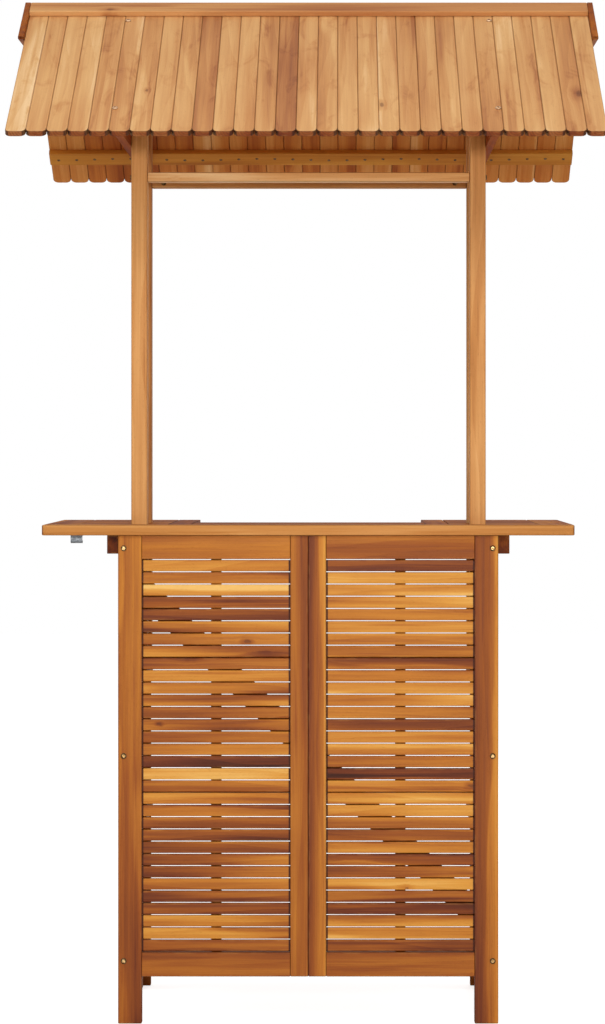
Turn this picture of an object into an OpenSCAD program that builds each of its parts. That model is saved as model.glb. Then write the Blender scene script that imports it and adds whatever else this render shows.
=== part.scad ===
// Outdoor bar table with a pitched roof. A slatted front and two slatted sides
// carry a counter with two deep wings, two shelves and four posts, and the
// posts carry a boarded gable roof. The origin is on the floor under the ridge,
// X runs along the counter and -Y points to the guest.

/* [Base] */
// Width of the slatted base over its sides
base_w = 800; // [760:5:860]
// Depth of the base from the front panel to the back of the rear legs
base_d = 490; // [460:5:540]
// Distance from the ridge line forward to the face of the front panel
front_set = 150; // [145:5:175]
// Thickness of the front and side panels
frame_t = 24; // [22:1:30]
// Width of the stiles at the corners, which are also the legs
stile_w = 50; // [46:1:60]
// Width of the two stiles in the middle of the front
inner_stile_w = 38; // [34:1:50]
// Height of the top rails
top_rail_h = 50; // [44:1:60]
// Height of the bottom rails
low_rail_h = 51; // [44:1:60]
// Clear height under the bottom rails
low_rail_z = 99; // [80:1:130]
// Width of the rear legs
rear_leg_w = 40; // [36:1:55]
// Thickness of the rear legs
rear_leg_t = 22; // [20:1:28]

/* [Slats] */
// Wanted distance from one slat to the next
slat_step = 25.7; // [22:0.1:40]
// Open gap between two slats
slat_gap = 2; // [1.5:0.5:8]
// Thickness of a slat
slat_t = 12; // [10:1:13]
// How far the slats sit behind the face of the frame
slat_recess = 3; // [2:0.5:4]
// Depth of the mortises for the slats
slat_tenon = 8; // [6:1:9]
// Length of the tenons on the rails
rail_tenon = 12; // [8:1:12]
// Thickness of the tenons on the rails
rail_tenon_t = 8; // [6:1:10]
// Width of the battens behind the slats
slat_batten_w = 22; // [18:1:30]
// Width of the diagonal brace behind the front
brace_w = 50; // [40:1:60]
// Thickness of the diagonal brace
brace_t = 12; // [10:1:14]
// Drop of the brace from its middle to each end, as a share of the run
brace_fall = 0.98; // [0.8:0.01:1]
// Height of the middle of the brace
brace_z = 570; // [560:5:590]

/* [Counter] */
// Height of the counter's upper face
counter_h = 1049; // [1000:1:1100]
// Thickness of the counter
counter_t = 22; // [20:1:28]
// Length of the counter over its wings
counter_w = 1120; // [1080:5:1180]
// Depth of the counter at the wings
counter_d = 527; // [510:1:580]
// Overhang of the counter in front of the base
counter_lip = 10; // [5:1:20]
// Depth of the long front board
front_board_d = 64; // [55:1:64]
// Width of the border at the outer end of a wing
outer_border_w = 70; // [60:1:90]
// Distance from the middle to the inner edge of a wing
wing_in = 250; // [230:5:270]
// Width of the border at the inner edge of a wing
inner_border_w = 48; // [40:1:60]
// Depth of the middle part, measured behind the ridge line
mid_back = 98; // [96:1:130]
// Wanted distance from one wing plank to the next
plank_step = 58; // [50:1:80]
// Number of planks in the middle part
mid_planks = 3; // [2:1:4]
// Open joint between the planks
plank_gap = 1.5; // [1:0.5:4]
// Length of the tongues on the plank ends
tongue = 10; // [8:1:14]
// Thickness of the tongues
tongue_t = 8; // [6:1:9]
// Corner radius of the counter
counter_r = 9; // [4:1:14]
// Depth of the cleat behind the front panel
front_cleat_w = 51; // [40:1:60]
// Height of the cleat behind the front panel
front_cleat_h = 20; // [16:1:30]
// Thickness of the rails under the wings
wing_rail_t = 24; // [18:1:30]
// Height of the rails under the wings
wing_rail_h = 39; // [30:1:46]

/* [Shelves] */
// Height of the upper face of the upper shelf
upper_shelf_h = 780; // [700:5:820]
// Height of the upper face of the lower shelf
lower_shelf_h = 482; // [420:5:520]
// Thickness of the shelf planks
shelf_t = 18; // [15:1:22]
// Number of planks in a shelf
shelf_planks = 3; // [2:1:4]
// Open joint between two shelf planks
shelf_gap = 3; // [2:0.5:8]
// Height of the cleats under the shelf ends
cleat_h = 45; // [35:1:55]

/* [Posts] */
// Width of a post along the counter
post_w = 34; // [30:1:40]
// Depth of a post
post_d = 45; // [38:1:50]
// Distance over the front and rear posts
post_span = 190; // [186:2:200]
// Distance from the underside of the ties down to the underside of the bars between the posts
bar_drop = 74; // [50:2:110]
// Height of a bar between the posts
bar_h = 20; // [18:1:26]
// Depth of a bar between the posts
bar_d = 32; // [26:1:38]
// How far the bars sit behind the outer faces of the posts
bar_inset = 4; // [2:1:7]

/* [Roof] */
// Overall height to the ridge
total_h = 2170; // [2120:5:2240]
// Overall width over the gable plates
roof_w = 1220; // [1180:5:1280]
// Overall depth over the eaves
roof_d = 1060; // [1030:5:1120]
// Slope of the roof in degrees
slope = 31; // [30:0.5:33]
// Number of boards on each slope
board_n = 29; // [27:1:31]
// Thickness of a board
board_t = 12; // [10:1:14]
// Open joint between two boards
board_gap = 0.8; // [0.5:0.1:2]
// Corner radius of the board ends at the eaves
board_r = 12; // [8:1:18]
// How far the tongue of a board goes into the next board
board_tongue = 4; // [3:0.5:6]
// Thickness of the tongues on the boards
board_tongue_t = 4; // [3:0.5:5]
// Width of a batten under the boards
batten_w = 44; // [40:1:55]
// Thickness of a batten
batten_t = 12; // [10:1:16]
// Distance down the slope from the ridge to the middle of the upper batten
upper_batten = 66; // [62:1:80]
// Distance up the slope from the eave to the middle of the lower batten
lower_batten = 107; // [100:1:115]
// Width of each ridge cap board
cap_w = 50; // [44:1:60]
// Thickness of a ridge cap board
cap_t = 12; // [10:1:14]
// Thickness of a gable plate
plate_t = 12; // [10:1:16]
// Length of a gable plate along each slope
plate_len = 185; // [160:5:220]
// Width of a gable plate across the slope at its ends
plate_w = 6; // [4:1:60]

/* [Trusses] */
// Thickness of the rafters and ties
truss_t = 18; // [16:1:22]
// Depth of a rafter across the slope
rafter_h = 45; // [40:1:55]
// Distance from the ridge down to the underside of the ties
tie_drop = 320; // [310:1:325]
// Height of a tie
tie_h = 45; // [40:1:50]

/* [Fasteners] */
// Diameter of the bolts
bolt_d = 6; // [5:0.5:7]
// Diameter of a bolt head
head_d = 12; // [10:0.5:14]
// Height of a bolt head
head_t = 3; // [2:0.5:4]
// Diameter of a barrel nut
nut_d = 10; // [9:0.5:11]
// Length of a barrel nut
nut_len = 13; // [11:1:14]
// Distance from a joint to the middle of its barrel nut
nut_in = 26; // [20:1:28]

/* [Hook] */
// Width of the steel hook plate under the left wing
hook_w = 25; // [18:1:32]
// Depth of its fixing flange
hook_d = 30; // [24:1:40]
// Height over which it hangs down
hook_h = 18; // [12:1:24]
// Thickness of its sheet
hook_t = 2.5; // [1.5:0.5:3]

/* [Hidden] */
// Clearance of a wood joint on each side
fit = 0.3;
// Clearance of a bolt in its hole on each side
bolt_fit = 0.3;
// Clearance of a bolt in its barrel nut on each side
thread_fit = 0.1;
// Extra length of a cut that goes past a face
past = 1;
// Shoulder above and below the tenon of a rail
shoulder = 6;
// Height of the lowest frame bolts over the underside of the bottom rails
low_bolt_in = 33;
// Distance of the highest frame bolts below the top of the frame
high_bolt_in = 27;
// How far a roof bolt goes into its rafter
roof_bolt_past = 22;
// Share of a bolt head's height that is its straight rim
rim_share = 0.6;
// Width of a bolt head's flat top and of its socket, as shares of its diameter
crown_share = 0.7;
socket_share = 0.45;
// Width and depth of a barrel nut's slot, as a share of its diameter
nut_slot_share = 0.16;
// How far a bolt goes past the middle of its barrel nut
bolt_past = 8;
// How far a through bolt stays short of the inner face of a post
bolt_short = 6;
// Distance from the front panel to the shelf cleats
cleat_set = 6;
// Facets of a round outline
$fn = 48;

// Colours of the oiled wood and the metal
light_wood = "burlywood";
mid_wood = "peru";
red_wood = "sienna";
brass = "gold";
steel = "slategray";

// Base
base_half = base_w / 2;
side_in = base_half - frame_t;
front_y = -front_set;
panel_back = front_y + frame_t;
rear_y = front_y + base_d;
leg_y = rear_y - rear_leg_t;
side_len = leg_y - panel_back;
frame_top = counter_h - counter_t;
open_low = low_rail_z + low_rail_h;
open_high = frame_top - top_rail_h;
slat_n = round((open_high - open_low - slat_gap) / slat_step);
slat_pitch = (open_high - open_low - slat_gap) / slat_n;
slat_h = slat_pitch - slat_gap;
batten_back = frame_t - slat_recess - slat_t;
side_open = side_len - 2 * stile_w;
leaf_open = base_half - stile_w - inner_stile_w;
brace_half = side_in - past;

// Counter
counter_half = counter_w / 2;
counter_y = front_y - counter_lip;
board_back = counter_y + front_board_d;
wing_back = counter_y + counter_d;
plank_x = wing_in + inner_border_w;
plank_end = counter_half - outer_border_w;
wing_planks = round((wing_back - board_back) / plank_step);
wing_pitch = (wing_back - board_back) / wing_planks;
mid_pitch = (mid_back - board_back) / mid_planks;
tongue_z = frame_top + (counter_t - tongue_t) / 2;

// Posts and shelves
post_x = side_in - post_w;
post_y = post_span / 2;
shelf_pitch = (post_span + shelf_gap) / shelf_planks;
cleat_y = panel_back + cleat_set;
cleat_len = side_len / 2 + slat_batten_w / 2 - cleat_set;

// Roof: the apexes are where the faces of the two slopes meet over the ridge
board_apex = total_h - cap_t / cos(slope);
eave_len = roof_d / 2 / cos(slope);
field_half = roof_w / 2 - plate_t;
board_pitch = 2 * field_half / board_n;
board_w = board_pitch - board_gap;
// The boards of the two slopes meet along their lower edges, this far down from the apex
board_head = board_t * tan(slope);
under_boards = board_apex - board_t / cos(slope);
under_battens = under_boards - batten_t / cos(slope);
under_rafters = under_battens - rafter_h / cos(slope);
lower_batten_at = eave_len - lower_batten;
truss_x = side_in;
truss_mid = truss_x + truss_t / 2;
tie_z = total_h - tie_drop;
tie_top = tie_z + tie_h;
post_clear = 4;
post_top = under_battens - post_y * tan(slope) - post_clear;

// Heights and places of the bolts
bolt_inset = frame_t / 2;
frame_bolt_z = [low_rail_z + low_bolt_in, (low_rail_z + frame_top) / 2, frame_top - high_bolt_in];
frame_bolt_len = frame_t + nut_in + bolt_past;
leg_bolt_len = rear_leg_t + nut_in + bolt_past;
wing_bolt_x = base_half + wing_rail_t;
wing_bolt_z = frame_top - wing_rail_h / 2;
wing_bolt_len = wing_rail_t + frame_t + post_w - bolt_short;
tie_bolt_z = tie_z + tie_h / 2;
truss_bolt_len = truss_t + post_w - bolt_short;
rafter_bolt_z = (under_battens + under_rafters) / 2 - (post_y - post_d / 2) * tan(slope);
bar_bolt_len = post_w + nut_in + bolt_past;
bar_z = tie_z - bar_drop;
bar_mid_z = bar_z + bar_h / 2;
bar_mid_y = post_y - bar_inset - bar_d / 2;
apron_t = frame_t;
apron_y = post_y - apron_t;
apron_nut_y = apron_y + apron_t / 2;
apron_bolt_len = wing_rail_t + frame_t + post_w + nut_in + bolt_past;
roof_bolt_len = board_t + batten_t + roof_bolt_past;

// Shared shapes

// Height of the underside of one slat
function slat_z(i) = open_low + slat_gap + i * slat_pitch;

module on_left() {
    mirror([1, 0, 0]) children();
}

module on_both_sides() {
    children();
    on_left() children();
}

// A bolt with its head on the plane z = 0 and its shank below it
module bolt(len) {
    rim_t = head_t * rim_share;
    difference() {
        union() {
            cylinder(d = head_d, h = rim_t);
            translate([0, 0, rim_t]) cylinder(d1 = head_d, d2 = head_d * crown_share, h = head_t - rim_t);
            translate([0, 0, -len]) cylinder(d = bolt_d, h = len);
        }
        translate([0, 0, rim_t / 2]) cylinder(d = head_d * socket_share, h = head_t, $fn = 6);
    }
}

module bolt_hole(len) {
    translate([0, 0, -len]) cylinder(d = bolt_d + 2 * bolt_fit, h = len + past);
}

// A barrel nut along Z with its middle at the origin, bored for a bolt along X
module barrel_nut() {
    slot_w = nut_d * nut_slot_share;
    slot_deep = nut_d * nut_slot_share;
    difference() {
        translate([0, 0, -nut_len / 2]) cylinder(d = nut_d, h = nut_len);
        rotate([0, 90, 0]) cylinder(d = bolt_d + 2 * thread_fit, h = nut_d + 2 * past, center = true);
        translate([-slot_w / 2, -nut_d, nut_len / 2 - slot_deep]) cube([slot_w, 2 * nut_d, slot_deep + past]);
    }
}

// The hole of a barrel nut: its mouth is on the plane z = mouth
module nut_hole(mouth) {
    translate([0, 0, -nut_len / 2 - fit]) cylinder(d = nut_d + 2 * fit, h = mouth + nut_len / 2 + fit + past);
}

// Slatted panels, in a frame with x along the panel and y into its thickness

module slat_row(x, len, grow) {
    for (i = [0 : slat_n - 1]) {
        translate([x, slat_recess - grow, slat_z(i) - grow])
            cube([len, slat_t + 2 * grow, slat_h + 2 * grow]);
    }
}

module rail_tenons(x, len, grow) {
    for (z = [[low_rail_z, low_rail_h], [open_high, top_rail_h]]) {
        translate([x, (frame_t - rail_tenon_t) / 2 - grow, z[0] + shoulder - grow])
            cube([len, rail_tenon_t + 2 * grow, z[1] - 2 * shoulder + 2 * grow]);
    }
}

// A stile from x = 0 to x = w, mortised on its far edge
module stile(w, foot) {
    difference() {
        translate([0, 0, foot]) cube([w, frame_t, frame_top - foot]);
        slat_row(w - slat_tenon - fit, slat_tenon + fit + past, fit);
        rail_tenons(w - rail_tenon - fit, rail_tenon + fit + past, fit);
    }
}

// The rails between two stiles, from x = 0 to x = len over their shoulders
module rail(len, z, h) {
    translate([0, 0, z]) cube([len, frame_t, h]);
    translate([-rail_tenon, (frame_t - rail_tenon_t) / 2, z + shoulder])
        cube([len + 2 * rail_tenon, rail_tenon_t, h - 2 * shoulder]);
}

module slats(len) {
    slat_row(-slat_tenon, len + 2 * slat_tenon, 0);
}

// The batten on the back of the slats, in the middle of an opening
module slat_batten(len) {
    translate([(len - slat_batten_w) / 2, slat_recess + slat_t, open_low])
        cube([slat_batten_w, batten_back, open_high - open_low]);
}

// Front panel: the right leaf, and the left one as its mirror image

module leaf_at(x) {
    translate([x, front_y, 0]) children();
}

// Bolt holes through a leg, along Y
module frame_bolt_places() {
    for (z = frame_bolt_z) {
        translate([base_half - bolt_inset, front_y, z]) rotate([90, 0, 0]) children();
    }
}

module rear_bolt_places() {
    for (z = frame_bolt_z) {
        translate([base_half - bolt_inset, rear_y, z]) rotate([-90, 0, 0]) children();
    }
}

module front_leg() {
    difference() {
        leaf_at(base_half) mirror([1, 0, 0]) stile(stile_w, 0);
        frame_bolt_places() bolt_hole(frame_bolt_len);
    }
}

module front_inner_stile() {
    leaf_at(0) stile(inner_stile_w, low_rail_z);
}

module front_right_leg() {
    color(mid_wood) front_leg();
}

module front_left_leg() {
    color(mid_wood) on_left() front_leg();
}

module front_right_inner_stile() {
    color(red_wood) front_inner_stile();
}

module front_left_inner_stile() {
    color(red_wood) on_left() front_inner_stile();
}

module front_top_rails() {
    color(mid_wood) on_both_sides() leaf_at(inner_stile_w) rail(leaf_open, open_high, top_rail_h);
}

module front_bottom_rails() {
    color(mid_wood) on_both_sides() leaf_at(inner_stile_w) rail(leaf_open, low_rail_z, low_rail_h);
}

module front_right_slats() {
    color(light_wood) leaf_at(inner_stile_w) slats(leaf_open);
}

module front_left_slats() {
    color(light_wood) on_left() leaf_at(inner_stile_w) slats(leaf_open);
}

module front_slat_battens() {
    color(red_wood) on_both_sides() leaf_at(inner_stile_w) slat_batten(leaf_open);
}

// The brace falls from the upper left to the lower right, with upright ends
module front_brace() {
    rise = brace_w / 2 * sqrt(1 + brace_fall * brace_fall);
    fall = brace_half * brace_fall;
    color(red_wood)
        translate([0, panel_back + brace_t, brace_z]) rotate([90, 0, 0]) linear_extrude(brace_t)
            polygon([
                [-brace_half, fall - rise], [brace_half, -fall - rise],
                [brace_half, -fall + rise], [-brace_half, fall + rise]
            ]);
}

// Side panels: the right one, and the left one as its mirror image

module side_frame() {
    translate([base_half, panel_back, 0]) rotate([0, 0, 90]) children();
}

// Holes for the bolts and their barrel nuts in the edge of a side stile
module stile_bolt_holes() {
    for (z = frame_bolt_z) {
        translate([-past, bolt_inset, z]) rotate([0, 90, 0])
            cylinder(d = bolt_d + 2 * bolt_fit, h = nut_in + bolt_past + 2 * past);
        translate([nut_in, bolt_inset, z]) rotate([-90, 0, 0]) nut_hole(frame_t - bolt_inset);
    }
}

module side_stile() {
    difference() {
        stile(stile_w, 0);
        stile_bolt_holes();
    }
}

module side_top_rail() {
    difference() {
        side_frame() translate([stile_w, 0, 0]) rail(side_open, open_high, top_rail_h);
        wing_bolt_holes();
    }
}

module side_stiles() {
    difference() {
        union() {
            side_frame() side_stile();
            side_frame() translate([side_len, 0, 0]) mirror([1, 0, 0]) side_stile();
        }
        wing_bolt_holes();
    }
}

module side_rails() {
    side_top_rail();
    side_frame() translate([stile_w, 0, 0]) rail(side_open, low_rail_z, low_rail_h);
}

module side_slats() {
    side_frame() translate([stile_w, 0, 0]) slats(side_open);
}

module side_right_stiles() {
    color(mid_wood) side_stiles();
}

module side_left_stiles() {
    color(mid_wood) on_left() side_stiles();
}

module side_right_rails() {
    color(mid_wood) side_rails();
}

module side_left_rails() {
    color(mid_wood) on_left() side_rails();
}

module side_right_slats() {
    color(light_wood) side_slats();
}

module side_left_slats() {
    color(light_wood) on_left() side_slats();
}

module side_slat_battens() {
    color(red_wood) on_both_sides() side_frame() translate([stile_w, 0, 0]) slat_batten(side_open);
}

module rear_leg() {
    difference() {
        translate([base_half - rear_leg_w, leg_y, 0]) cube([rear_leg_w, rear_leg_t, frame_top]);
        rear_bolt_places() bolt_hole(leg_bolt_len);
    }
}

module rear_right_leg() {
    color(mid_wood) rear_leg();
}

module rear_left_leg() {
    color(mid_wood) on_left() rear_leg();
}

// Shelves

module shelf(top) {
    for (i = [0 : shelf_planks - 1]) {
        translate([-side_in, -post_y + i * shelf_pitch, top - shelf_t])
            cube([2 * side_in, shelf_pitch - shelf_gap, shelf_t]);
    }
}

module cleat(top) {
    translate([post_x, cleat_y, top - shelf_t - cleat_h]) cube([post_w, cleat_len, cleat_h]);
}

module upper_shelf_planks() {
    color(light_wood) shelf(upper_shelf_h);
}

module lower_shelf_planks() {
    color(light_wood) shelf(lower_shelf_h);
}

module upper_shelf_cleats() {
    color(red_wood) on_both_sides() cleat(upper_shelf_h);
}

module lower_shelf_cleats() {
    color(red_wood) on_both_sides() cleat(lower_shelf_h);
}

// Posts and the bars between them

// The rear half of the posts is the mirror image of the front half
module on_rear() {
    mirror([0, 1, 0]) children();
}

module bar_bolt_place() {
    translate([side_in, -bar_mid_y, bar_mid_z]) rotate([0, 90, 0]) children();
}

// The bolt through wing rail, side panel and rear post into the rail behind the counter
module apron_bolt_place() {
    translate([wing_bolt_x, apron_nut_y, wing_bolt_z]) rotate([0, 90, 0]) children();
}

// The bolt through wing rail and side panel into the front post
module wing_bolt_place() {
    translate([wing_bolt_x, -post_y + post_d / 2, wing_bolt_z]) rotate([0, 90, 0]) children();
}

// The holes that both of them need in the pieces that they pass through
module wing_bolt_holes() {
    wing_bolt_place() bolt_hole(wing_bolt_len);
    apron_bolt_place() bolt_hole(apron_bolt_len + past);
}

// Bolts through the tie and the rafter into each post
module truss_bolt_places() {
    for (side = [-1, 1]) {
        for (z = [tie_bolt_z, rafter_bolt_z]) {
            translate([truss_x + truss_t, side * (post_y - post_d / 2), z]) rotate([0, 90, 0]) children();
        }
    }
}

module post_blank() {
    translate([post_x, -post_y, upper_shelf_h]) cube([post_w, post_d, post_top - upper_shelf_h]);
}

module front_post() {
    difference() {
        post_blank();
        bar_bolt_place() bolt_hole(bar_bolt_len);
        wing_bolt_holes();
        truss_bolt_places() bolt_hole(truss_bolt_len);
    }
}

module rear_post() {
    difference() {
        on_rear() post_blank();
        on_rear() bar_bolt_place() bolt_hole(bar_bolt_len);
        wing_bolt_holes();
        truss_bolt_places() bolt_hole(truss_bolt_len);
    }
}

module front_right_post() {
    color(mid_wood) front_post();
}

module front_left_post() {
    color(mid_wood) on_left() front_post();
}

module rear_right_post() {
    color(mid_wood) rear_post();
}

module rear_left_post() {
    color(mid_wood) on_left() rear_post();
}

// The middle of a bar's barrel nut, with its mouth towards the other bar
module bar_nut_place() {
    translate([post_x - nut_in, -bar_mid_y, bar_mid_z]) rotate([-90, 0, 0]) children();
}

module apron_nut_place() {
    translate([post_x - nut_in, apron_nut_y, wing_bolt_z]) rotate([90, 0, 0]) children();
}

module crossbar() {
    difference() {
        translate([-post_x, -bar_mid_y - bar_d / 2, bar_z]) cube([2 * post_x, bar_d, bar_h]);
        on_both_sides() bar_bolt_place() bolt_hole(bar_bolt_len + past);
        on_both_sides() bar_nut_place() nut_hole(bar_d / 2);
    }
}

module front_crossbar() {
    color(light_wood) crossbar();
}

module rear_crossbar() {
    color(light_wood) on_rear() crossbar();
}

// Counter

// Outline of a board with its two front corners rounded
module front_board_outline(w, d, r) {
    translate([-w / 2, -d + r]) square([w, d - r]);
    translate([-w / 2 + r, -d]) square([w - 2 * r, d - r]);
    for (side = [-1, 1]) {
        translate([side * (w / 2 - r), -d + r]) circle(r);
    }
}

module counter_front_board() {
    color(mid_wood) translate([0, board_back, frame_top]) linear_extrude(counter_t)
        front_board_outline(counter_w, front_board_d, counter_r);
}

// A plank along X with a tongue on both ends
module tongued_plank(x, len, y, w) {
    translate([x, y, frame_top]) cube([len, w, counter_t]);
    translate([x - tongue, y, tongue_z]) cube([len + 2 * tongue, w, tongue_t]);
}

module counter_middle_planks() {
    reach = wing_in - plank_gap;
    color(light_wood) for (i = [0 : mid_planks - 1]) {
        tongued_plank(-reach, 2 * reach, board_back + plank_gap + i * mid_pitch, mid_pitch - plank_gap);
    }
}

// The space of the two posts of one side in the counter
module post_notches() {
    translate([post_x - fit, board_back - past, frame_top - past])
        cube([post_w + 2 * fit, post_d - post_y - board_back + past + fit, counter_t + 2 * past]);
    translate([post_x - fit, post_y - post_d - fit, frame_top - past])
        cube([post_w + 2 * fit, post_d + 2 * fit, counter_t + 2 * past]);
}

module wing_plank_set() {
    first = plank_x + plank_gap;
    len = plank_end - plank_x - 2 * plank_gap;
    difference() {
        for (i = [0 : wing_planks - 1]) {
            tongued_plank(first, len, board_back + plank_gap + i * wing_pitch, wing_pitch - plank_gap);
        }
        post_notches();
    }
}

module counter_right_planks() {
    color(light_wood) wing_plank_set();
}

module counter_left_planks() {
    color(light_wood) on_left() wing_plank_set();
}

// A groove for tongues, from x over a width w
module groove(x, w, y0, y1) {
    translate([x, y0, tongue_z - fit]) cube([w, y1 - y0, tongue_t + 2 * fit]);
}

module border_blank(x, w) {
    translate([x, board_back + plank_gap, frame_top]) cube([w, wing_back - board_back - plank_gap, counter_t]);
}

module outer_border() {
    deep = tongue - plank_gap + fit;
    width = outer_border_w - counter_r;
    depth = wing_back - board_back - plank_gap;
    difference() {
        union() {
            border_blank(plank_end, width);
            translate([plank_end, board_back + plank_gap, frame_top])
                cube([outer_border_w, depth - counter_r, counter_t]);
            translate([counter_half - counter_r, wing_back - counter_r, frame_top])
                cylinder(r = counter_r, h = counter_t);
        }
        groove(plank_end - past, deep + past, board_back, wing_back + past);
    }
}

module inner_border() {
    deep = tongue - plank_gap + fit;
    difference() {
        border_blank(wing_in, inner_border_w);
        groove(plank_x - deep, deep + past, board_back, wing_back + past);
        groove(wing_in - past, deep + past, board_back, mid_back + fit);
    }
}

module counter_right_outer_border() {
    color(red_wood) outer_border();
}

module counter_left_outer_border() {
    color(red_wood) on_left() outer_border();
}

module counter_right_inner_border() {
    color(red_wood) inner_border();
}

module counter_left_inner_border() {
    color(red_wood) on_left() inner_border();
}

// The cleat behind the front panel that carries the front board and the borders
module counter_front_cleat() {
    color(red_wood) translate([-post_x, panel_back, frame_top - front_cleat_h])
        cube([2 * post_x, front_cleat_w, front_cleat_h]);
}

module counter_rear_rail() {
    color(mid_wood) difference() {
        translate([-post_x, apron_y, open_high]) cube([2 * post_x, apron_t, top_rail_h]);
        on_both_sides() apron_bolt_place() bolt_hole(apron_bolt_len + past);
        on_both_sides() apron_nut_place() nut_hole(apron_t / 2);
    }
}

module wing_rail() {
    difference() {
        translate([base_half, panel_back - frame_t / 2, frame_top - wing_rail_h])
            cube([wing_rail_t, side_len + frame_t / 2, wing_rail_h]);
        wing_bolt_holes();
    }
}

module right_wing_rail() {
    color(red_wood) wing_rail();
}

module left_wing_rail() {
    color(red_wood) on_left() wing_rail();
}

// A steel plate screwed across the joint under the left wing, bent to a hook
module wing_hook() {
    turn = hook_h * 0.35;
    color(steel) translate([-(wing_bolt_x + counter_half + hook_w) / 2, board_back + hook_d, frame_top])
        rotate([90, 0, 90]) linear_extrude(hook_w) {
            translate([-hook_d, -hook_t]) square([hook_d, hook_t]);
            translate([-hook_d, -hook_h + turn]) square([hook_t, hook_h - turn]);
            translate([-hook_d + turn, -hook_h + turn]) difference() {
                circle(turn);
                circle(turn - hook_t);
                translate([-turn - past, 0]) square([2 * turn + 2 * past, turn + past]);
            }
        }
}

// Roof

// The front slope: y = 0 at the ridge and negative down the slope, z = 0 on the boards' outer face
module front_slope() {
    translate([0, 0, board_apex]) rotate([slope, 0, 0]) children();
}

module roof_bolt_places() {
    for (d = [upper_batten, lower_batten_at]) {
        translate([truss_mid, -d, 0]) children();
    }
}

// A board down the slope with its corners rounded at the eave
module board_outline() {
    translate([-board_w / 2, -eave_len + board_r]) square([board_w, eave_len - board_r - board_head]);
    translate([-board_w / 2 + board_r, -eave_len]) square([board_w - 2 * board_r, board_r * 2]);
    for (side = [-1, 1]) {
        translate([side * (board_w / 2 - board_r), -eave_len + board_r]) circle(board_r);
    }
}

// A strip along the edge of a board at half its thickness: its tongue, or the groove for one
module board_joint(x, foot, head, len, grow) {
    translate([x, -foot, -(board_t + board_tongue_t) / 2 - grow])
        cube([len, foot - head, board_tongue_t + 2 * grow]);
}

module roof_board(has_groove, has_tongue) {
    difference() {
        union() {
            translate([0, 0, -board_t]) linear_extrude(board_t) board_outline();
            if (has_tongue) {
                board_joint(board_w / 2 - past, eave_len - board_r, board_head, past + board_gap + board_tongue, 0);
            }
        }
        if (has_groove) {
            board_joint(-board_w / 2 - past, eave_len + past, 0, past + board_tongue + fit, fit);
        }
    }
}

module slope_boards() {
    front_slope() difference() {
        for (i = [0 : board_n - 1]) {
            translate([(i - (board_n - 1) / 2) * board_pitch, 0, 0]) roof_board(i > 0, i < board_n - 1);
        }
        on_both_sides() roof_bolt_places() bolt_hole(roof_bolt_len);
    }
}

module roof_front_boards() {
    color(light_wood) slope_boards();
}

module roof_rear_boards() {
    color(light_wood) on_rear() slope_boards();
}

module slope_battens() {
    front_slope() difference() {
        for (d = [upper_batten, lower_batten_at]) {
            translate([-field_half, -d - batten_w / 2, -board_t - batten_t])
                cube([2 * field_half, batten_w, batten_t]);
        }
        on_both_sides() roof_bolt_places() bolt_hole(roof_bolt_len);
    }
}

module roof_front_battens() {
    color(mid_wood) slope_battens();
}

module roof_rear_battens() {
    color(mid_wood) on_rear() slope_battens();
}

// Extrudes an outline in the plane of Y and Z along X
module along_x(x, len) {
    translate([x, 0, 0]) rotate([90, 0, 90]) linear_extrude(len) children();
}

// A strip parallel to the front slope: its upper face starts at the height top over the ridge
module slope_strip(top, thick, len) {
    polygon([
        [0, top], [-len * cos(slope), top - len * sin(slope)],
        [-len * cos(slope) + thick * sin(slope), top - len * sin(slope) - thick * cos(slope)],
        [0, top - thick / cos(slope)]
    ]);
}

module ridge_cap() {
    along_x(-field_half, 2 * field_half) slope_strip(total_h, cap_t, cap_w);
}

module ridge_cap_front() {
    color(light_wood) ridge_cap();
}

module ridge_cap_rear() {
    color(light_wood) on_rear() ridge_cap();
}

// A plate over the end of the roof, as high as the ridge cap
module gable_plate() {
    run = plate_len * cos(slope);
    drop = plate_len * sin(slope);
    end_y = run - plate_w * sin(slope);
    end_z = total_h - drop - plate_w * cos(slope);
    along_x(field_half, plate_t) polygon([
        [0, total_h], [-run, total_h - drop], [-end_y, end_z],
        [end_y, end_z], [run, total_h - drop]
    ]);
}

module right_gable_plate() {
    color(mid_wood) gable_plate();
}

module left_gable_plate() {
    color(mid_wood) on_left() gable_plate();
}

// Trusses

// The front rafter stands on the tie and meets the rear one over the ridge line
module rafter_outline() {
    foot_out = (under_battens - tie_top) / tan(slope);
    foot_in = (under_rafters - tie_top) / tan(slope);
    meet = fit / 2;
    polygon([
        [-meet, under_battens - meet * tan(slope)], [-foot_out, tie_top],
        [-foot_in, tie_top], [-meet, under_rafters - meet * tan(slope)]
    ]);
}

module roof_bolt_holes() {
    front_slope() roof_bolt_places() bolt_hole(roof_bolt_len);
    on_rear() front_slope() roof_bolt_places() bolt_hole(roof_bolt_len);
}

module rafters() {
    difference() {
        union() {
            along_x(truss_x, truss_t) rafter_outline();
            on_rear() along_x(truss_x, truss_t) rafter_outline();
        }
        roof_bolt_holes();
        truss_bolt_places() bolt_hole(truss_bolt_len);
    }
}

module tie() {
    top_half = (under_battens - tie_top) / tan(slope);
    low_half = (under_battens - tie_z) / tan(slope);
    difference() {
        along_x(truss_x, truss_t) polygon([
            [-low_half, tie_z], [low_half, tie_z], [top_half, tie_top], [-top_half, tie_top]
        ]);
        roof_bolt_holes();
        truss_bolt_places() bolt_hole(truss_bolt_len);
    }
}

module right_rafters() {
    color(mid_wood) rafters();
}

module left_rafters() {
    color(mid_wood) on_left() rafters();
}

module right_tie() {
    color(red_wood) tie();
}

module left_tie() {
    color(red_wood) on_left() tie();
}

// Fasteners

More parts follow.
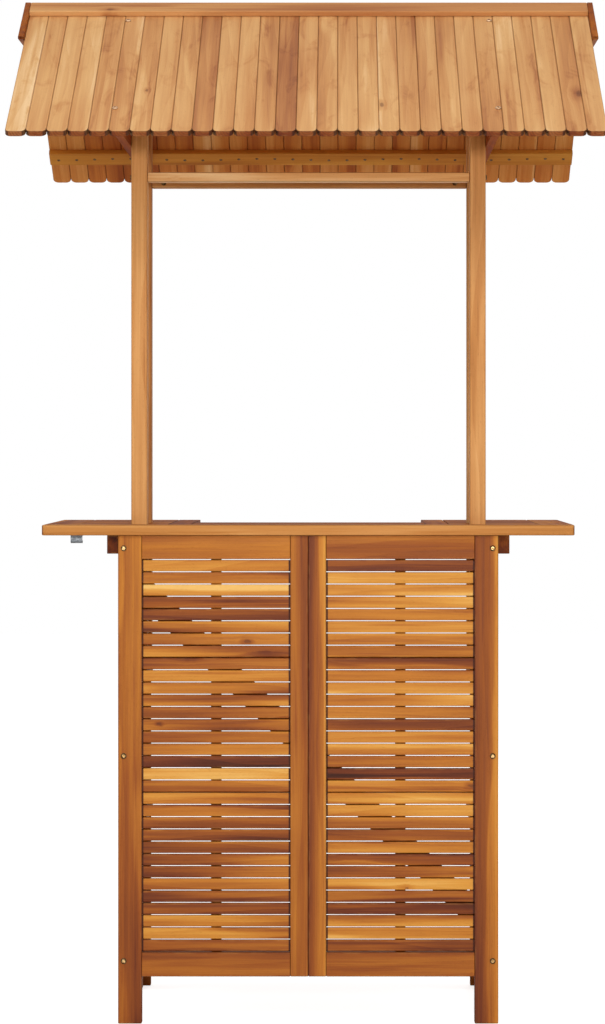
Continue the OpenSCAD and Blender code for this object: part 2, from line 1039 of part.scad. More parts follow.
module frame_bolts() {
    color(brass) on_both_sides() {
        frame_bolt_places() bolt(frame_bolt_len);
        rear_bolt_places() bolt(leg_bolt_len);
    }
}

module frame_barrel_nuts() {
    color(steel) on_both_sides() for (z = frame_bolt_z) {
        for (y = [panel_back + nut_in, leg_y - nut_in]) {
            translate([base_half - bolt_inset, y, z]) rotate([0, -90, 0]) rotate([0, 0, 90]) barrel_nut();
        }
    }
}

module post_bolts() {
    color(brass) on_both_sides() {
        wing_bolt_place() bolt(wing_bolt_len);
        truss_bolt_places() bolt(truss_bolt_len);
    }
}

module roof_bolts() {
    color(brass) on_both_sides() {
        front_slope() roof_bolt_places() bolt(roof_bolt_len);
        on_rear() front_slope() roof_bolt_places() bolt(roof_bolt_len);
    }
}

module crossbar_bolts() {
    color(brass) on_both_sides() {
        bar_bolt_place() bolt(bar_bolt_len);
        on_rear() bar_bolt_place() bolt(bar_bolt_len);
        apron_bolt_place() bolt(apron_bolt_len);
    }
}

module crossbar_barrel_nuts() {
    color(steel) on_both_sides() {
        bar_nut_place() barrel_nut();
        on_rear() bar_nut_place() barrel_nut();
        apron_nut_place() barrel_nut();
    }
}

front_left_leg();
front_right_leg();
front_left_inner_stile();
front_right_inner_stile();
front_top_rails();
front_bottom_rails();
front_left_slats();
front_right_slats();
front_slat_battens();
front_brace();
side_left_stiles();
side_right_stiles();
side_left_rails();
side_right_rails();
side_left_slats();
side_right_slats();
side_slat_battens();
rear_left_leg();
rear_right_leg();
upper_shelf_planks();
lower_shelf_planks();
upper_shelf_cleats();
lower_shelf_cleats();
front_left_post();
front_right_post();
rear_left_post();
rear_right_post();
front_crossbar();
rear_crossbar();
counter_front_board();
counter_middle_planks();
counter_left_planks();
counter_right_planks();
counter_left_outer_border();
counter_right_outer_border();
counter_left_inner_border();
counter_right_inner_border();
counter_front_cleat();
counter_rear_rail();
left_wing_rail();
right_wing_rail();
wing_hook();
roof_front_boards();
roof_rear_boards();
roof_front_battens();
roof_rear_battens();
ridge_cap_front();
ridge_cap_rear();
left_gable_plate();
right_gable_plate();
left_rafters();
right_rafters();
left_tie();
right_tie();
frame_bolts();
frame_barrel_nuts();
post_bolts();
roof_bolts();
crossbar_bolts();
crossbar_barrel_nuts();
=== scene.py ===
"""Looks of the outdoor bar table with roof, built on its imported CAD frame."""

import math
import random

import bpy
import numpy as np
from mathutils import Matrix, Vector


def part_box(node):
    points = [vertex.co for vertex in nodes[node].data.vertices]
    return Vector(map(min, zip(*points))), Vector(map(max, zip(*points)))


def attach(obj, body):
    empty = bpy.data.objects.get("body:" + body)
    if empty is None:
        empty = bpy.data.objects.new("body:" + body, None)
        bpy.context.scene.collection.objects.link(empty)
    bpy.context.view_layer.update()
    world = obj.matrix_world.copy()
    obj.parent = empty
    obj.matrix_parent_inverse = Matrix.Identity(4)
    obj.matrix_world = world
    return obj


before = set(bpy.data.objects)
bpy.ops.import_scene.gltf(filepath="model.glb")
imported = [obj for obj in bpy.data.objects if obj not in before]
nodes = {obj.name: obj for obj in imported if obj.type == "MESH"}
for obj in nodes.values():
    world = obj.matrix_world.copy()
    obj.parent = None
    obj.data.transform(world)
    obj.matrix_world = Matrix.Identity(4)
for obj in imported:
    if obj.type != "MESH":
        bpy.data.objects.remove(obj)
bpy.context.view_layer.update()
scene = bpy.context.scene
scene.view_settings.view_transform = "Standard"

X, Y, Z = (1, 0, 0), (0, 1, 0), (0, 0, 1)
SLOPE = math.radians(31)
FRONT_SLOPE = (0, -math.cos(SLOPE), -math.sin(SLOPE))
REAR_SLOPE = (0, math.cos(SLOPE), -math.sin(SLOPE))
BRACE_FALL = 0.98  # how far the front brace falls for each metre to the right


# Camera: level, at the photograph's place

FRAME_WIDTH, FRAME_HEIGHT = 605, 1024
LEVEL_X, LEVEL_Y = 341.5, 455  # the pixel that lies straight ahead of the camera

camera = bpy.data.objects.new("camera", bpy.data.cameras.new("camera"))
scene.collection.objects.link(camera)
camera.location = (0.07, -6.67, 1.196)
camera.rotation_euler = (math.pi / 2, 0, 0)
camera.data.lens = 109.0
camera.data.sensor_width = 36.0
camera.data.shift_x = (FRAME_WIDTH / 2 - LEVEL_X) / FRAME_HEIGHT
camera.data.shift_y = (LEVEL_Y - FRAME_HEIGHT / 2) / FRAME_HEIGHT
camera.data.clip_end = 60
scene.camera = camera


# Node helpers


def rgb(code):
    """Linear colour of an sRGB hex code."""
    out = []
    for i in (0, 2, 4):
        c = int(code[i : i + 2], 16) / 255
        out.append(c / 12.92 if c <= 0.04045 else ((c + 0.055) / 1.055) ** 2.4)
    return (*out, 1.0)


class Tree:
    """Builds the node tree of a material or of the world with short calls."""

    def __init__(self, owner, output="ShaderNodeOutputMaterial"):
        owner.use_nodes = True
        self.owner = owner
        self.tree = owner.node_tree
        self.tree.nodes.clear()
        self.out = self.tree.nodes.new(output)

    def node(self, kind, **fields):
        made = self.tree.nodes.new(kind)
        for key, value in fields.items():
            setattr(made, key, value)
        return made

    def put(self, socket, value):
        if isinstance(value, bpy.types.NodeSocket):
            self.tree.links.new(value, socket)
        else:
            socket.default_value = value

    def fill(self, made, values):
        """Puts values into a node's first sockets and returns its first output."""
        for socket, value in zip(made.inputs, values):
            self.put(socket, value)
        return made.outputs[0]

    def math(self, operation, *values):
        return self.fill(self.node("ShaderNodeMath", operation=operation), values)

    def add(self, a, b):
        return self.math("ADD", a, b)

    def sub(self, a, b):
        return self.math("SUBTRACT", a, b)

    def mul(self, a, b):
        return self.math("MULTIPLY", a, b)

    def vector(self, operation, *values):
        return self.fill(self.node("ShaderNodeVectorMath", operation=operation), values)

    def scaled(self, vector, factor):
        made = self.node("ShaderNodeVectorMath", operation="SCALE")
        made.inputs["Scale"].default_value = factor
        return self.fill(made, [vector])

    def dot(self, a, b):
        made = self.node("ShaderNodeVectorMath", operation="DOT_PRODUCT")
        self.fill(made, (a, b))
        return made.outputs["Value"]

    def attribute(self, name):
        return self.node("ShaderNodeAttribute", attribute_name=name).outputs["Vector"]

    def split(self, vector):
        made = self.node("ShaderNodeSeparateXYZ")
        self.put(made.inputs[0], vector)
        return made.outputs

    def join(self, x, y, z):
        return self.fill(self.node("ShaderNodeCombineXYZ"), (x, y, z))

    def noise(self, vector, scale=1.0, detail=2.0, rough=0.5, distort=0.0):
        made = self.node("ShaderNodeTexNoise")
        self.put(made.inputs["Vector"], vector)
        made.inputs["Scale"].default_value = scale
        made.inputs["Detail"].default_value = detail
        made.inputs["Roughness"].default_value = rough
        made.inputs["Distortion"].default_value = distort
        return made.outputs["Fac"]

    def step(self, value, low, high):
        """A smooth step from 0 at low to 1 at high, which may be the smaller number."""
        made = self.node("ShaderNodeMapRange", interpolation_type="SMOOTHSTEP")
        return self.fill(made, (value, low, high, 0.0, 1.0))

    def ramp(self, value, colours):
        """Evenly spaced colours from 0 to 1."""
        made = self.node("ShaderNodeValToRGB")
        self.put(made.inputs[0], value)
        elements = made.color_ramp.elements
        while len(elements) < len(colours):
            elements.new(0.5)
        for i, (element, colour) in enumerate(zip(elements, colours)):
            element.position = i / (len(colours) - 1)
            element.color = rgb(colour)
        return made.outputs[0]

    def mix(self, fac, a, b, blend="MIX"):
        made = self.node("ShaderNodeMix", data_type="RGBA", blend_type=blend)
        self.put(made.inputs[0], fac)
        self.put(made.inputs[6], a)
        self.put(made.inputs[7], b)
        return made.outputs[2]

    def bump(self, height, distance, strength):
        made = self.node("ShaderNodeBump")
        made.inputs["Strength"].default_value = strength
        made.inputs["Distance"].default_value = distance
        self.put(made.inputs["Height"], height)
        return made.outputs[0]

    def surface(self, colour, roughness, normal, **values):
        shader = self.node("ShaderNodeBsdfPrincipled")
        self.put(shader.inputs["Base Color"], colour)
        self.put(shader.inputs["Roughness"], roughness)
        self.put(shader.inputs["Normal"], normal)
        for key, value in values.items():
            shader.inputs[key.replace("_", " ")].default_value = value
        self.put(self.out.inputs[0], shader.outputs[0])


# Wood. Each piece carries its own grain frame: along, across and through it.

# Colour ranges from the darkest heartwood to the palest sapwood
GOLD = ("3d190a", "6c3115", "98511b", "c07728", "d8963d", "edbc68")
HONEY = ("43200f", "75401d", "a2642b", "c58647", "d99f5f", "edc48c")
TAN = ("482213", "7e4526", "a7683a", "c68b53", "d9a66b", "eec896")
RUST = ("43190b", "743216", "a0511f", "c0702e", "d38c46", "e8b274")
# The seam and notch colours are painted shade; the rubbed colour is partly wear and partly a
# painted highlight.
KNOT, PORE, RUBBED_AND_LIT, SEAM_SHADE, NOTCH_SHADE = "552a17", "5a2f16", "dca05c", "3c170a", "2e1208"
END_GRAIN, END_ARC, END_SPECK = "8a4f28", "4f2812", "3a1c0e"
BLUSH = (0.86, 0.72, 0.66, 1.0)

KNOTS_ALONG, KNOTS_ACROSS = 3.1, 13.0  # places for a knot, for each metre of a piece


def knot_pattern(t, grain, seed, knotty):
    """Knots at a share of their places: the core, the halo, and the push that the grain
    gets to flow round them."""
    u, v = t.split(grain)[:2]
    cells = t.join(
        t.add(t.mul(u, KNOTS_ALONG), t.mul(seed, 61.0)),
        t.add(t.mul(v, KNOTS_ACROSS), t.mul(seed, 17.0)),
        0.0,
    )
    found = t.node("ShaderNodeTexVoronoi", voronoi_dimensions="2D")
    t.put(found.inputs["Vector"], cells)
    found.inputs["Scale"].default_value = 1.0
    pick = t.node("ShaderNodeSeparateColor")
    t.put(pick.inputs[0], found.outputs["Color"])
    away = t.split(t.vector("SUBTRACT", cells, found.outputs["Position"]))
    du = t.math("DIVIDE", away[0], KNOTS_ALONG)
    dv = t.math("DIVIDE", away[1], KNOTS_ACROSS)
    wander = t.noise(t.scaled(grain, 70.0), detail=1.0)
    squares = t.add(t.math("POWER", t.mul(du, 0.45), 2.0), t.math("POWER", dv, 2.0))
    span = t.add(t.math("SQRT", squares), t.mul(t.sub(wander, 0.5), 0.007))
    size = t.add(0.002, t.mul(t.math("POWER", pick.outputs[1], 2.0), 0.006))
    live = t.math("LESS_THAN", pick.outputs[0], knotty)
    reach = t.math("DIVIDE", span, size)
    core = t.mul(t.step(reach, 1.1, 0.5), live)
    halo = t.mul(t.step(reach, 3.2, 0.8), live)
    push = t.mul(t.mul(t.step(reach, 5.0, 0.6), live), t.mul(dv, -0.75))
    return core, halo, push


def growth_rings(t, placed):
    """Rings round a heart that lies off the piece, and wanders along it."""
    drift = t.noise(t.vector("MULTIPLY", placed, (1.0, 2.4, 2.4)))
    off = t.vector("MULTIPLY", placed, (0.0, 1.0, 1.0))
    sway = t.scaled(t.join(drift, drift, drift), 0.055)
    shape = dict(wave_type="BANDS", bands_direction="DIAGONAL", wave_profile="SAW")
    rings = t.node("ShaderNodeTexWave", **shape)
    t.put(rings.inputs["Vector"], t.vector("ADD", off, sway))
    rings.inputs["Scale"].default_value = 22.0
    rings.inputs["Distortion"].default_value = 1.6
    rings.inputs["Detail"].default_value = 2.0
    rings.inputs["Detail Scale"].default_value = 1.5
    return rings.outputs["Fac"]


def end_arcs(t, grain, half, seed):
    """Arcs of the growth rings on the ends of a piece."""
    heart = t.vector("SUBTRACT", grain, t.vector("MULTIPLY", half, (0.0, 0.7, 1.8)))
    arcs = t.node("ShaderNodeTexWave", wave_type="RINGS", rings_direction="X")
    t.put(arcs.inputs["Vector"], t.vector("ADD", heart, t.join(0.0, t.mul(seed, 0.02), 0.0)))
    arcs.inputs["Scale"].default_value = 60.0
    arcs.inputs["Distortion"].default_value = 1.0
    return arcs.outputs["Fac"]


def wood(name, figure=1.0, sap=1.0, stops=GOLD, rough=0.55, shine=0.2, smudge=0.0, under=None):
    """Oiled acacia. A piece's own level says how pale it is, from 0 to 1; figure is the
    strength of its bands, sap how much of it is pale sapwood, and smudge how much cloudy
    darker wood lies across the grain. under is given for roof boards: the darker, redder
    colours of their faces that look down, a painted shade, while the faces that look up keep
    the paler colours, a painted sheen."""
    t = Tree(bpy.data.materials.new(name))
    grain = t.attribute("grain")
    half = t.attribute("half")
    tone, seed, knotty = t.split(t.attribute("piece"))
    lean = t.split(t.attribute("lean"))
    joint = t.split(t.attribute("joint"))
    normal = t.node("ShaderNodeNewGeometry").outputs["True Normal"]
    core, halo, push = knot_pattern(t, grain, seed, knotty)
    far = t.join(t.mul(seed, 37.0), t.mul(seed, 91.0), t.mul(seed, 53.0))
    placed = t.vector("ADD", t.vector("ADD", grain, t.join(0.0, push, 0.0)), far)

    def drawn(along, across, shift=None, **kinds):
        """Noise of so many cells to the metre along and across the grain. A shift takes
        another part of the pattern."""
        place = t.vector("MULTIPLY", placed, (along, across, across))
        return t.noise(t.vector("ADD", place, shift) if shift else place, **kinds)

    # Broad bands of heartwood and sapwood that run with the grain, and growth rings
    bands = drawn(0.9, 30.0, detail=3.0, distort=0.2)
    broad = drawn(2.0, 7.0, distort=0.3)
    ring = growth_rings(t, placed)
    # Fibres and open pores
    fibre = drawn(9.0, 420.0, detail=3.0, rough=0.6)
    streak = drawn(3.2, 120.0, rough=0.55)
    pore = t.step(drawn(120.0, 1300.0, detail=1.0), 0.66, 0.78)
    # Pale sapwood with a wandering edge, and dark streaks of heartwood
    share = t.split(t.vector("DIVIDE", grain, half))
    edge = drawn(1.0, 12.0, (7.0, 3.0, 1.0), detail=3.0, rough=0.4, distort=0.3)
    pale = t.step(t.add(edge, t.mul(t.mul(share[1], lean[1]), 0.9)), 0.54, 0.6)
    vein = drawn(1.1, 38.0, (2.0, 9.0, 6.0), detail=3.0, distort=0.35)
    dark = t.step(vein, 0.58, 0.68)

    level = tone
    for pattern, strength in (
        (bands, 0.55 * figure),
        (broad, 0.5 * figure),
        (ring, -0.08 * figure),
        (streak, 0.3 * figure),
        (fibre, 0.16),
    ):
        level = t.add(level, t.mul(t.sub(pattern, 0.5), strength))
    level = t.add(level, t.mul(pale, 0.17 * sap))
    level = t.sub(level, t.mul(dark, 0.16 * figure))
    level = t.sub(level, t.mul(halo, 0.15))
    if smudge:
        cloud = drawn(8.0, 20.0, (4.0, 6.0, 2.0), detail=4.0, rough=0.6, distort=1.2)
        level = t.sub(level, t.mul(t.step(cloud, 0.52, 0.76), smudge))
    # Paler towards one end or one edge, as the piece's lean says
    level = t.add(level, t.mul(share[0], lean[0]))
    level = t.add(level, t.mul(share[1], t.add(lean[1], t.mul(share[0], lean[2]))))
    colour = t.ramp(level, stops)
    # Painted shade and sheen: faces that look down take the darker, redder under colours, and
    # faces that look up keep the paler ones.
    if under:
        upward = t.split(normal)[2]
        colour = t.mix(t.step(upward, -0.3, 0.1), t.ramp(level, under), colour)
    # A redder cast in places
    blush = t.step(drawn(1.0, 14.0, (5.0, 2.0, 8.0), detail=1.0), 0.45, 0.75)
    colour = t.mix(t.mul(blush, 0.45), colour, BLUSH, "MULTIPLY")
    colour = t.mix(t.mul(core, 0.55), colour, rgb(KNOT))
    colour = t.mix(t.mul(pore, 0.3), colour, rgb(PORE))

    # End grain, seen where a face looks along the grain, drinks more oil
    end = t.step(t.math("ABSOLUTE", t.dot(normal, t.attribute("axis"))), 0.6, 0.85)
    speck = drawn(1.0, 900.0)
    butt = t.mix(0.75, colour, rgb(END_GRAIN), "MULTIPLY")
    butt = t.mix(t.mul(end_arcs(t, grain, half, seed), 0.45), butt, rgb(END_ARC))
    butt = t.mix(t.mul(t.step(speck, 0.55, 0.75), 0.4), butt, rgb(END_SPECK))
    colour = t.mix(end, colour, butt)

    # Edges, rubbed a little pale and dry, with a painted highlight on their rounding: the
    # second smallest of the distances to a piece's three pairs of faces is small there
    gap = t.split(t.vector("SUBTRACT", half, t.vector("ABSOLUTE", grain)))
    low = t.math("MINIMUM", gap[0], gap[1])
    high = t.math("MAXIMUM", gap[0], gap[1])
    second = t.math("MAXIMUM", low, t.math("MINIMUM", high, gap[2]))
    rub = drawn(24.0, 60.0, (3.0, 1.0, 4.0))
    worn_and_lit = t.mul(t.step(second, 0.0045, 0.0018), t.step(rub, 0.45, 0.65))
    colour = t.mix(t.mul(worn_and_lit, 0.14), colour, rgb(RUBBED_AND_LIT))
    # Painted shade along the edges and the joints, and a painted shadow line where a slat enters
    # its mortise
    seam_shade = t.mul(t.step(second, 0.0022, 0.0003), joint[0])
    seam_shade = t.math("MAXIMUM", seam_shade, t.mul(t.step(gap[0], 0.0044, 0.0022), joint[1]))
    colour = t.mix(seam_shade, colour, rgb(SEAM_SHADE))
    if under:
        # Painted shade in the notches between the boards' rounded ends, where tongue and groove
        # end
        tip = t.mul(t.step(gap[1], 0.0048, 0.0042), t.step(gap[2], 0.0026, 0.0032))
        sideways = t.step(t.math("ABSOLUTE", t.split(normal)[0]), 0.3, 0.6)
        notch_shade = t.mul(t.math("MAXIMUM", tip, sideways), t.step(gap[0], 0.016, 0.013))
        colour = t.mix(t.mul(notch_shade, 0.85), colour, rgb(NOTCH_SHADE))

    height = t.add(t.mul(fibre, 0.5), t.mul(ring, 0.35))
    height = t.sub(height, t.mul(pore, 0.8))
    height = t.sub(height, t.mul(core, 0.5))
    height = t.add(height, t.mul(end, t.mul(speck, 0.8)))
    polish = t.add(rough, t.mul(t.sub(streak, 0.5), 0.25))
    polish = t.add(polish, t.mul(end, 0.2))
    polish = t.add(polish, t.mul(worn_and_lit, 0.1))
    t.surface(colour, polish, t.bump(height, 0.0004, 0.55), Specular_IOR_Level=shine, IOR=1.46)
    return t.owner


# Metal

HOLLOW_SHADE = "2c180c"
DULL = (0.05, 0.03, 0.015, 1)


def metal(name, colour, worn_colour, rough, core=0.0, rim=1.0):
    """Plated steel with cloudy wear and dull specks. core and rim are radii in metres: the
    painted shade in the socket of a head, and the painted shadow round its rim."""
    t = Tree(bpy.data.materials.new(name))
    where = t.node("ShaderNodeTexCoord").outputs["Object"]
    radius = t.split(t.attribute("turn"))[0]
    cloud = t.noise(where, scale=260.0, detail=3.0)
    specks = t.step(t.noise(where, scale=1500.0), 0.55, 0.72)
    tint = t.mix(t.step(cloud, 0.35, 0.7), rgb(colour), rgb(worn_colour))
    # Painted shade in the socket, and a painted shadow ring round the rim
    socket = t.step(radius, core, core * 0.8 - 0.00001)
    hollow_shade = t.math("MAXIMUM", socket, t.step(radius, rim * 0.86, rim * 0.97))
    tint = t.mix(t.mul(hollow_shade, 0.82), tint, rgb(HOLLOW_SHADE))
    tint = t.mix(t.mul(specks, 0.35), tint, DULL)
    polish = t.add(rough, t.mul(t.sub(cloud, 0.5), 0.3))
    polish = t.add(polish, t.mul(specks, 0.25))
    polish = t.add(polish, t.mul(hollow_shade, 0.25))
    t.surface(tint, polish, t.bump(t.noise(where, scale=900.0), 0.0001, 0.4), Metallic=1.0)
    return t.owner


# Pieces of one node

TOUCH = 0.00001  # points nearer than this, in metres, count as one


def islands(mesh):
    """The vertices' places, and the index of the connected piece that each belongs to, with
    split corners joined."""
    co = np.zeros(len(mesh.vertices) * 3)
    mesh.vertices.foreach_get("co", co)
    co = co.reshape(-1, 3)
    keys, same = np.unique(np.round(co, 6), axis=0, return_inverse=True)
    same = same.reshape(-1)
    edges = np.zeros(len(mesh.edges) * 2, int)
    mesh.edges.foreach_get("vertices", edges)
    edges = same[edges.reshape(-1, 2)]
    label = np.arange(len(keys))
    while True:
        low = np.minimum(label[edges[:, 0]], label[edges[:, 1]])
        before = label.copy()
        np.minimum.at(label, edges[:, 0], low)
        np.minimum.at(label, edges[:, 1], low)
        label = label[label]
        if (label == before).all():
            break
    return co, np.unique(label[same], return_inverse=True)[1].reshape(-1)


def set_vector(mesh, name, values):
    made = mesh.attributes.new(name, "FLOAT_VECTOR", "POINT")
    made.data.foreach_set("vector", np.ascontiguousarray(values, np.float32).reshape(-1))


def turned(name, material):
    """Gives a node of bolts or nuts the distance of each point from its own axis."""
    obj = nodes[name]
    co, index = islands(obj.data)
    turn = np.zeros_like(co)
    for i in range(index.max() + 1):
        mine = index == i
        local = co[mine] - (co[mine].max(0) + co[mine].min(0)) / 2
        axis = np.linalg.eigh(local.T @ local)[1][:, 2]
        middle = local - np.outer(local @ axis, axis)
        middle = middle - (middle.max(0) + middle.min(0)) / 2
        turn[mine, 0] = np.linalg.norm(middle, axis=1)
    set_vector(obj.data, "turn", turn)
    obj.material_slots[0].material = material


def round_edges(obj, rim, bevel=0.0015, segments=2, outer=False, merge=True):
    """Rounds the edges of a node's pieces. outer rounds only the edges between a piece's
    outermost faces, which rim names for each vertex, and not its mortises. merge joins its
    flat faces first."""
    mesh = obj.data
    weld = obj.modifiers.new("weld", "WELD")
    weld.merge_threshold = TOUCH
    if outer:
        ends = np.zeros(len(mesh.edges) * 2, int)
        mesh.edges.foreach_get("vertices", ends)
        a_side, b_side = rim[ends[0::2]], rim[ends[1::2]]
        weight = ((a_side == b_side) & (a_side != 0)).sum(1) > 1
        marked = mesh.attributes.new("bevel_weight_edge", "FLOAT", "EDGE")
        marked.data.foreach_set("value", weight.astype(np.float32))
    elif merge:
        flat = obj.modifiers.new("flat", "DECIMATE")
        flat.decimate_type = "DISSOLVE"
        flat.angle_limit = math.radians(1)
    edge = obj.modifiers.new("edge", "BEVEL")
    edge.width = bevel
    edge.segments = segments
    edge.limit_method = "WEIGHT" if outer else "ANGLE"
    edge.angle_limit = math.radians(40)
    edge.use_clamp_overlap = False
    edge.loop_slide = False
    edge.harden_normals = False
    crisp = obj.modifiers.new("crisp", "EDGE_SPLIT")
    crisp.split_angle = math.radians(60)
    shade = obj.modifiers.new("shade", "WEIGHTED_NORMAL")
    shade.keep_sharp = False


def dress(
    name,
    material,
    along,
    tones=(0.3, 0.7),
    knots=0.12,
    order="x",
    marks=None,
    lean=None,
    twist=None,
    seam_shade=0.4,
    inset=0.0,
    **rounding,
):
    """Gives a wooden node its grain frame, levels and rounded edges.
    tones is the range that each piece's level is drawn from, and marks is {index in order:
    level} for pieces that stand out. knots is the share of places that hold a knot, lean
    how much paler a piece gets towards each world direction, twist how much its lean across
    changes along it, seam how dark the painted shade along its edges and joints is, and
    inset the length of its tenons, where a painted shadow line marks the mortise."""
    obj = nodes[name]
    mesh = obj.data
    co, index = islands(mesh)
    axis = Vector(along).normalized()
    a = np.array(axis)
    other = np.array(min((abs(axis.dot(Vector(e))), e) for e in (X, Y, Z))[1], float)
    side = other - a * (a @ other)
    side /= np.linalg.norm(side)
    third = np.cross(a, side)
    count = index.max() + 1
    centre = [(co[index == i].max(0) + co[index == i].min(0)) / 2 for i in range(count)]
    ordered = sorted(range(count), key=lambda i: centre[i]["xyz".index(order)])
    rank = {i: r for r, i in enumerate(ordered)}
    grain = np.zeros_like(co)
    half = np.zeros_like(co)
    piece = np.zeros_like(co)
    paler = np.zeros_like(co)
    rim = np.zeros_like(co)
    for i in range(count):
        mine = index == i
        local = co[mine] @ np.array([a, side, third]).T
        low, high = local.min(0), local.max(0)
        local = local - (low + high) / 2
        size = (high - low) / 2
        across = side
        if size[1] < size[2]:
            local, size = local[:, [0, 2, 1]], size[[0, 2, 1]]
            across = third
        rim[mine] = np.sign(local) * (np.abs(local) > size - TOUCH)
        size[0] -= inset
        grain[mine] = local
        half[mine] = size
        chance = random.Random(f"{name} {rank[i]}")
        tone = chance.uniform(*tones)
        piece[mine] = ((marks or {}).get(rank[i], tone), chance.random(), knots)
        own = [chance.uniform(-most, most) for most in (0.05, 0.07, 0.04)]
        if lean:
            own[:2] = a @ np.array(lean), across @ np.array(lean)
        if twist is not None:
            own[2] = twist
        paler[mine] = own
    set_vector(mesh, "grain", grain)
    set_vector(mesh, "half", half)
    set_vector(mesh, "piece", piece)
    set_vector(mesh, "lean", paler)
    # The joint vector holds the strength of the painted shade along edges and joints, and whether
    # a painted shadow line runs at the mortises.
    set_vector(mesh, "joint", np.tile((seam_shade, 1.0 if inset else 0.0, 0.0), (len(co), 1)))
    set_vector(mesh, "axis", np.tile(a, (len(co), 1)))
    obj.material_slots[0].material = material
    round_edges(obj, rim, **rounding)


def dress_all(names, *values, **options):
    for name in names:
        dress(name, *values, **options)


wood_frame = wood("oiled_frame_wood", figure=0.65, sap=0.8)
wood_slat = wood("oiled_slat_wood")
wood_rail = wood("oiled_rail_wood", figure=0.55, sap=0.3)
wood_inner = wood("oiled_inner_wood")
wood_shelf = wood("oiled_shelf_wood")
wood_post = wood("oiled_post_wood", figure=1.1, sap=0.7, stops=HONEY)
COUNTER = dict(figure=0.8, sap=0.5, shine=0.06)
wood_counter = wood("oiled_counter_wood", **COUNTER)
wood_counter_front = wood("oiled_counter_edge_wood", stops=HONEY, **COUNTER)
# The roof boards' faces that look down get darker, redder colours than those that look up:
# painted shade.
BOARDS = dict(figure=0.8, stops=TAN, rough=0.6, under=RUST)
wood_roof = wood("oiled_roof_board_wood", sap=0.7, shine=0.3, smudge=0.16, **BOARDS)
wood_rear_roof = wood("oiled_rear_board_wood", sap=0.6, shine=0.1, **BOARDS)
wood_ridge = wood("oiled_ridge_wood", figure=0.7, sap=0.5, stops=TAN)
wood_roof_frame = wood("oiled_roof_frame_wood", figure=0.7, sap=0.5, shine=0.1)
wood_truss = wood("oiled_truss_wood", figure=0.7, sap=0.3, stops=RUST, rough=0.65, shine=0.03)


# Legs, stiles and rails. A piece's place in its node counts from the left or the bottom.

HEAVY = dict(bevel=0.002, outer=True)
SAPPY = (0.2, 0, 0.05)  # the right leg's lean: paler to the right, and a little to the top

dress("front_left_leg", wood_frame, Z, (0.41, 0.41), knots=0, lean=(0.02, 0, 0.12), **HEAVY)
dress("front_right_leg", wood_frame, Z, (0.36, 0.36), knots=0.05, lean=SAPPY, twist=0.06, **HEAVY)
REAR_AND_SIDE = ("rear_left_leg", "rear_right_leg", "side_left_stiles", "side_right_stiles")
dress_all(REAR_AND_SIDE, wood_frame, Z, (0.35, 0.6), outer=True)
STILE = dict(seam_shade=0.6, **HEAVY)
dress(
    "front_left_inner_stile", wood_frame, Z, (0.44, 0.44), knots=0.05, lean=(-0.04, 0, 0), **STILE
)
dress("front_right_inner_stile", wood_frame, Z, (0.41, 0.41), knots=0, lean=(0.2, 0, 0), **STILE)
dress("front_top_rails", wood_rail, X, knots=0, marks={0: 0.56, 1: 0.42})
dress("front_bottom_rails", wood_rail, X, knots=0.3, marks={0: 0.36, 1: 0.38}, lean=(0, 0, -0.05))
dress_all(("side_left_rails", "side_right_rails"), wood_rail, Y, (0.4, 0.6), order="z")


# Slats, counted from the bottom, and what holds them

SLATS = dict(order="z", bevel=0.0028, segments=3, inset=0.008, seam_shade=0.0, knots=0.2)


def levels(pale=(), mid=(), deep=(), dark=()):
    """Marks for slats that share one of four levels."""
    groups = ((0.7, pale), (0.56, mid), (0.34, deep), (0.22, dark))
    return {i: level for level, places in groups for i in places}


left_marks = {**levels(pale=(14, 29, 31), deep=(26, 28), dark=(15, 27)), 6: 0.3, 22: 0.66}
right_marks = levels(
    pale=(13, 17, 20, 21, 26, 28, 30),
    mid=(1, 5, 8, 11, 16, 19, 22, 24, 25, 29),
    deep=(0, 7, 18, 23, 31),
    dark=(3, 14),
)
dress("front_left_slats", wood_slat, X, (0.34, 0.52), marks=left_marks, **SLATS)
dress("front_right_slats", wood_slat, X, (0.42, 0.54), marks=right_marks, **SLATS)
dress_all(("side_left_slats", "side_right_slats"), wood_slat, Y, (0.25, 0.7), **SLATS)
dress_all(("front_slat_battens", "side_slat_battens"), wood_inner, Z, (0.3, 0.5), bevel=0.001)
dress("front_brace", wood_inner, (1, 0, -BRACE_FALL), (0.3, 0.3), bevel=0.001)


# Shelves, posts and counter

POSTS = ("front_left_post", "front_right_post", "rear_left_post", "rear_right_post")
WINGS = ("counter_left_planks", "counter_right_planks")
BORDERS = (
    "counter_left_outer_border",
    "counter_right_outer_border",
    "counter_left_inner_border",
    "counter_right_inner_border",
)
NOSE = dict(knots=0, bevel=0.0025, segments=3)

dress_all(("upper_shelf_planks", "lower_shelf_planks"), wood_shelf, X, (0.35, 0.65), order="y")
dress_all(("upper_shelf_cleats", "lower_shelf_cleats"), wood_inner, Y, (0.3, 0.5))
dress_all(POSTS, wood_post, Z, (0.6, 0.66), bevel=0.003, segments=3, outer=True)
# The front crossbar is set much paler than the rear one: painted light on the front bar and
# painted shade on the rear bar.
dress("front_crossbar", wood_post, X, marks={0: 0.9}, **HEAVY)
dress("rear_crossbar", wood_post, X, marks={0: 0.56}, **HEAVY)
dress("counter_front_board", wood_counter_front, X, (0.52, 0.52), **NOSE)
dress("counter_middle_planks", wood_counter, X, (0.35, 0.55), order="y")
dress_all(WINGS, wood_counter, X, (0.35, 0.6), order="y")
dress_all(BORDERS, wood_counter, Y, (0.35, 0.5))
dress_all(("counter_front_cleat", "counter_rear_rail"), wood_inner, X, (0.35, 0.5))
dress_all(("left_wing_rail", "right_wing_rail"), wood_inner, Y, (0.42, 0.48))


# Roof, with its boards counted from the left

